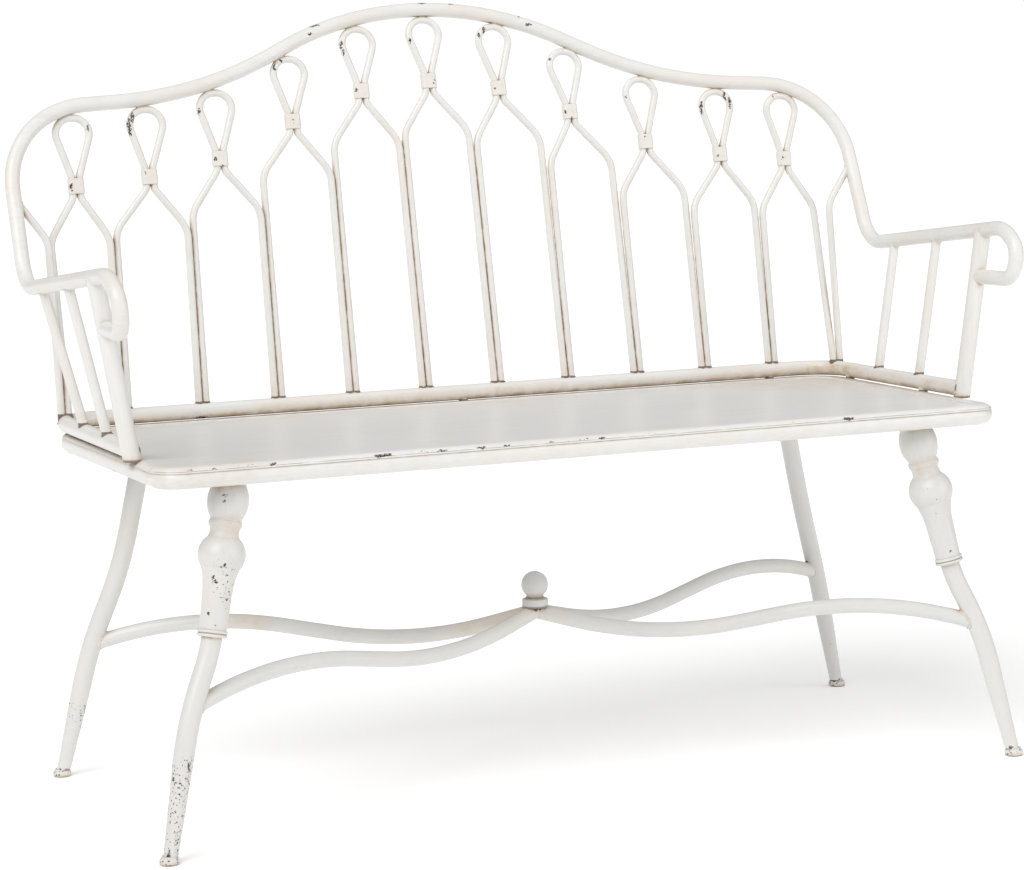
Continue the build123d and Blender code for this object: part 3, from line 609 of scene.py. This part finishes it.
BOW_CHIPS = [
    bow_chip(4.25, LARGE),
    bow_chip(4.35, SMALL, 0.02),
    bow_chip(6, MEDIUM),
    bow_chip(6.5, SMALL),
    bow_chip(7, TINY),
    bow_chip(7.5, SMALL, 0.02),
    bow_chip(7.55, TINY),
]
LOOP_CHIPS = [
    *loop_chips(1, (0.018, 0.80, SMALL)),
    *loop_chips(2, (0.013, 0.25, LARGE), (0.022, 0.20, LARGE), (0.032, 0.20, MEDIUM)),
    *loop_chips(3, (0.027, 0.20, SMALL)),
    *loop_chips(4, (0.006, 0.25, SMALL), (0.014, 0.20, MEDIUM)),
    *loop_chips(5, (0.024, 0.20, MEDIUM), (0.035, 0.20, SMALL)),
    *loop_chips(6, (0.032, 0.25, SMALL)),
    *loop_chips(7, (0.008, 0.20, MEDIUM), (0.015, 0.20, SMALL)),
    *loop_chips(8, (0.014, 0.15, SMALL)),
    *loop_chips(9, (0.028, 0.25, TINY)),
    *loop_chips(10, (0.022, 0.20, MEDIUM), (0.031, 0.20, SMALL), (0.010, 0.80, MEDIUM)),
    *loop_chips(10, (0.018, 0.80, MEDIUM), (0.028, 0.75, SMALL)),
    *loop_chips(11, (0.005, 0.20, TINY)),
    *[throat_chip(number) for number in (4, 5, 7, 8, 9, 10)],
]
COLLAR_CHIPS = [
    *collar_chips(1, (0.000, 0.25, LARGE), (0.005, 0.30, SMALL)),
    *collar_chips(2, (-0.007, 0.30, SMALL)),
    *collar_chips(3, (0.000, 0.25, MEDIUM), (0.008, 0.65, TINY)),
    *collar_chips(4, (-0.003, 0.60, SMALL)),
    *collar_chips(5, (-0.002, 0.20, MEDIUM)),
    *collar_chips(6, (-0.002, 0.90, SMALL), (0.003, 0.85, SMALL)),
    *collar_chips(7, (0.000, 0.30, SMALL), (-0.006, 0.80, TINY)),
    *collar_chips(8, (0.000, 0.20, MEDIUM), (0.007, 0.60, SMALL)),
    *collar_chips(9, (-0.007, 0.50, TINY)),
    *collar_chips(10, (0.001, 0.40, SMALL)),
    *collar_chips(11, (-0.002, 0.45, SMALL), (0.001, 0.30, TINY)),
]
EDGE_CHIPS = (
    (0.04, TINY),
    (0.065, TINY),
    (0.13, SMALL),
    (0.245, LARGE),
    (0.252, MEDIUM),
    (0.315, SMALL),
    (0.36, MEDIUM),
    (0.39, SMALL),
    (0.44, TINY),
    (0.50, SMALL),
    (0.80, LARGE),
)
SEAT_CHIPS = [
    (seen_on("seat_panel", SEAM_Z + 0.0012, across, FROM_FRONT), size, WIDE) for across, size in EDGE_CHIPS
]
RAIL_CHIPS = [
    (seen_on("seat_rail", RAIL_BOTTOM + 0.002, 0.17, FROM_FRONT), LARGE, WIDE),
    ((high("seat_rail").x - 0.012, BACK_Y - 0.255, RAIL_BOTTOM), LARGE, (1, 0.5, 1)),
]
SLEEVE_TOP = high("leg_sleeve_left").z
SLEEVE_CHIPS = (
    (0.014, 0.45, SMALL),
    (0.021, 0.45, MEDIUM),
    (0.092, 0.60, SMALL),
    (0.106, 0.35, MEDIUM),
    (0.111, 0.43, MEDIUM),
    (0.147, 0.31, SMALL),
    (0.160, 0.61, SMALL),
)
CASTING_CHIPS = [
    (seen_on("leg_sleeve_left", SLEEVE_TOP - down, across), size, ROUND) for down, across, size in SLEEVE_CHIPS
]
CASTING_CHIPS += [
    (seen_on("leg_sleeve_right", SLEEVE_TOP - down, across), TINY, ROUND)
    for down, across, _ in SLEEVE_CHIPS[::2]
]
JOINTS_WITH_CHIPS = ("rear_left", "rear_right", "front_right")
ANKLES = [(f"leg_front_{side}", high(f"foot_front_{side}").z + 0.002) for side in ("left", "right")]
LEG_CHIPS = [
    (seen_on("leg_front_left", low("leg_ring_left").z - 0.136, 0.85), MEDIUM, TALL),
    (seen_on("leg_front_left", low("leg_ring_left").z - 0.149, 0.80), SMALL, ROUND),
    (seen_on("leg_front_left", low("leg_ring_left").z - 0.149, 0.12), MEDIUM, ROUND),
    *[(joint_top(f"stretcher_{end}", f"leg_{end}"), LARGE, ROUND) for end in JOINTS_WITH_CHIPS],
    *[(seen_on(leg, z, 0.4), LARGE, ROUND) for leg, z in ANKLES],
    ((0.0, HUB_Y - 0.013, HUB_Z - 0.0125), LARGE, WIDE),
]

PINK_WHITE = (0.79, 0.75, 0.70)
# painted shade: the lower parts' paint is darker than the same paint higher up, for the shade under the seat
SHADED_LEG_WHITE = (0.67, 0.67, 0.655)
bow_paint = worn_paint("bow_paint", warmth=0.9, chips=BOW_CHIPS, stains_and_shade=shade_right)
post_paint = worn_paint("post_paint", grain=UPRIGHT, stains_and_shade=post_painted_shade, lines=post_lines)
rail_paint = worn_paint("rail_paint", warmth=0.9, chips=RAIL_CHIPS, stains_and_shade=rail_painted_shade, lines=rail_lines)
rod_paint = worn_paint(
    "rod_paint", grain=UPRIGHT, warmth=0.7, chips=LOOP_CHIPS, stains_and_shade=rod_stains_and_shade, lines=rod_lines
)
collar_paint = worn_paint(
    "collar_paint", white=PINK_WHITE, warmth=0.8, chips=COLLAR_CHIPS, specks=lambda g: 0.45
)
seat_paint = worn_paint(
    "seat_paint",
    white=(0.79, 0.785, 0.77),
    warmth=0.25,
    glaze_and_shade_depth=0.6,
    dark_depth=0.35,
    chips=SEAT_CHIPS,
    specks=seat_specks,
    stains_and_shade=seat_painted_shade,
    lines=seat_lines,
)
leg_paint = worn_paint(
    "leg_paint", grain=UPRIGHT, white=SHADED_LEG_WHITE, chips=LEG_CHIPS, specks=leg_specks, stains_and_shade=leg_stains_and_shade
)
stretcher_paint = worn_paint("stretcher_paint", white=SHADED_LEG_WHITE, chips=LEG_CHIPS, stains_and_shade=leg_stains_and_shade)
casting_paint = worn_paint(
    "casting_paint",
    grain=UPRIGHT,
    white=SHADED_LEG_WHITE,
    chips=CASTING_CHIPS,
    specks=casting_specks,
    stains_and_shade=casting_painted_shade,
    lines=casting_lines,
)
# painted shade: the finial and cap under the seat get a darker copy of the paint
finial_paint = worn_paint(
    "finial_paint", white=(0.60, 0.60, 0.59), warmth=0.3, stains_and_shade=shade_right, lines=cap_lines
)
# dark beads at the rods' feet: bare weld colour with painted contact shade
weld_and_shade_paint = worn_paint(
    "weld_and_shade_paint", white=(0.12, 0.085, 0.06), warm=DARK_GLAZE_AND_SHADE, warmth=1.0, specks=lambda g: 0.8
)
crown_paint = worn_paint("crown_paint", white=(0.55, 0.49, 0.41), warm=GLAZE_AND_SHADE, warmth=1.0)
zinc = plain_metal("zinc", (0.55, 0.55, 0.53), 0.35)

assign(bow_paint, "top_bow")
assign(post_paint, *named("front_post"))
assign(rail_paint, "seat_rail", "rail_spacers")
assign(rod_paint, *named("back_loop"), *named("end_rod"), *named("arm_rod"))
assign(collar_paint, "loop_collars")
assign(seat_paint, "seat_panel", "seat_frame", "seat_brace", *named("seat_cleat"), *named("leg_plate"))
assign(leg_paint, *named("leg_front"), *named("leg_rear"))
assign(stretcher_paint, *named("stretcher_front"), *named("stretcher_rear"))
assign(casting_paint, *named("leg_sleeve"), *named("leg_ring"), *named("foot"))
assign(finial_paint, "finial", "stretcher_cap")
assign(zinc, "leg_bolts", "leg_nuts", "rail_bolts")


# ---------------------------------------------------------------- weld beads
def even_points(points, step):
    """Points at an even distance round a closed outline."""
    ring = points + points[:1]
    lengths = [0.0]
    for first, second in zip(ring, ring[1:]):
        lengths.append(lengths[-1] + (second - first).length)
    count = max(12, round(lengths[-1] / step))
    where = np.linspace(0, lengths[-1], count, endpoint=False)
    columns = [np.interp(where, lengths, [p[axis] for p in ring]) for axis in range(3)]
    return [Vector(values) for values in zip(*columns)]


def add_bead(mesh, points, radius):
    """One lumpy weld bead swept round a closed outline."""
    sides = 8
    centre = sum(points, Vector()) / len(points)
    rings = []
    for index, point in enumerate(points):
        along = (points[(index + 1) % len(points)] - points[index - 1]).normalized()
        outward = point - centre
        outward = (outward - along * outward.dot(along)).normalized()
        upward = along.cross(outward)
        ripple = 0.16 * sin(index * 2.1) + 0.5 * noise.noise(point * 330)
        size = radius * (1 + ripple)
        ring = []
        for side in range(sides):
            angle = 2 * pi * side / sides
            ring.append(mesh.verts.new(point + (outward * cos(angle) + upward * sin(angle)) * size))
        rings.append(ring)
    for ring, onward in zip(rings, rings[1:] + rings[:1]):
        for side in range(sides):
            after = (side + 1) % sides
            face = mesh.faces.new((ring[side], ring[after], onward[after], onward[side]))
            face.smooth = True


def weld(name, pairs, radius, material):
    """All the beads of one kind of joint, as one piece."""
    mesh = bmesh.new()
    for part, partner in pairs:
        for rim in joint_rims(part, partner):
            add_bead(mesh, even_points(rim, 0.0012), radius)
    bmesh.ops.recalc_face_normals(mesh, faces=mesh.faces)
    data = bpy.data.meshes.new(name)
    mesh.to_mesh(data)
    mesh.free()
    data.materials.append(material)
    piece = bpy.data.objects.new(name, data)
    bpy.context.scene.collection.objects.link(piece)
    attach(piece, "root")


loops = named("back_loop")
rods = loops + named("end_rod") + named("arm_rod")
posts = named("front_post")
ends = [f"{end}_{side}" for end in ("front", "rear") for side in ("left", "right")]
weld("weld_rail", [(rod, "seat_rail") for rod in rods], 0.0011, weld_and_shade_paint)
weld("weld_post", [("seat_rail", post) for post in posts], 0.0013, post_paint)
weld("weld_crown", [(loop, "top_bow") for loop in loops], 0.0009, crown_paint)
weld("weld_arm", [(rod, "top_bow") for rod in rods[len(loops):] + posts], 0.0013, bow_paint)
weld("weld_stretcher", [(f"stretcher_{e}", f"leg_{e}") for e in ends], 0.0016, leg_paint)
weld("weld_plate", [(f"leg_{e}", f"leg_plate_{e}") for e in ends], 0.0016, leg_paint)

# ---------------------------------------------------------------- studio
CAMERA_PLACE = (-1.3792, -3.4544, 0.8686)
YAW, PITCH, ROLL = 0.379, 0.120, -0.030
LENS = 103.27
camera = bpy.data.objects.new("camera", bpy.data.cameras.new("camera"))
forward = Vector((sin(YAW) * cos(PITCH), cos(YAW) * cos(PITCH), -sin(PITCH)))
level = Vector((cos(YAW), -sin(YAW), 0))
upward = level.cross(forward)
right = level * cos(ROLL) + upward * sin(ROLL)
up = upward * cos(ROLL) - level * sin(ROLL)
turn = Matrix((right, up, -forward)).transposed().to_4x4()
camera.matrix_world = Matrix.Translation(CAMERA_PLACE) @ turn
camera.data.lens = LENS
camera.data.sensor_width = 36.0
camera.data.clip_end = 100.0
bpy.context.scene.collection.objects.link(camera)
bpy.context.scene.camera = camera


def soft_sun(name, source, power, spread):
    """An even light over the whole studio, as from a very large soft box far away."""
    data = bpy.data.lights.new(name, "SUN")
    data.energy = power
    data.angle = spread
    lamp = bpy.data.objects.new(name, data)
    lamp.location = source
    lamp.rotation_euler = (-Vector(source)).to_track_quat("-Z", "Y").to_euler()
    bpy.context.scene.collection.objects.link(lamp)


floor_mesh = bpy.data.meshes.new("floor")
FLOOR_REACH = 60.0
floor_corners = [(x * FLOOR_REACH, y * FLOOR_REACH, 0) for x, y in ((-1, -1), (1, -1), (1, 1), (-1, 1))]
floor_mesh.from_pydata(floor_corners, [], [(0, 1, 2, 3)])
floor = bpy.data.objects.new("floor", floor_mesh)
bpy.context.scene.collection.objects.link(floor)
floor_graph = Graph("floor")
floor_tone = floor_graph.mix(floor_graph.noise(3.0), (0.93, 0.93, 0.93), (0.95, 0.95, 0.95))
floor_material = floor_graph.shader(floor_tone, 0.9, 0.0, specular=0.0)
glow = next(node for node in floor_material.node_tree.nodes if node.type == "BSDF_PRINCIPLED")
glow.inputs["Emission Color"].default_value = (1, 1, 1, 1)
glow.inputs["Emission Strength"].default_value = 0.22
floor_mesh.materials.append(floor_material)

# the backdrop is white, and lights the bench a little less brightly than it looks
world = bpy.data.worlds.new("studio")
world.use_nodes = True
tree = world.node_tree
background = tree.nodes["Background"]
background.inputs["Color"].default_value = (1, 1, 1, 1)
seen = tree.nodes.new("ShaderNodeLightPath")
strength = tree.nodes.new("ShaderNodeMapRange")
strength.inputs["To Min"].default_value = 0.36
strength.inputs["To Max"].default_value = 1.05
tree.links.new(seen.outputs["Is Camera Ray"], strength.inputs["Value"])
tree.links.new(strength.outputs["Result"], background.inputs["Strength"])
bpy.context.scene.world = world
bpy.context.scene.view_settings.view_transform = "Standard"
soft_sun("key", (-2.4, -1.8, 3.0), 1.75, 0.8)
soft_sun("overhead", (0.3, 0.2, 4.0), 0.45, 1.5)
soft_sun("fill", (2.6, -2.4, 1.1), 0.70, 0.7)
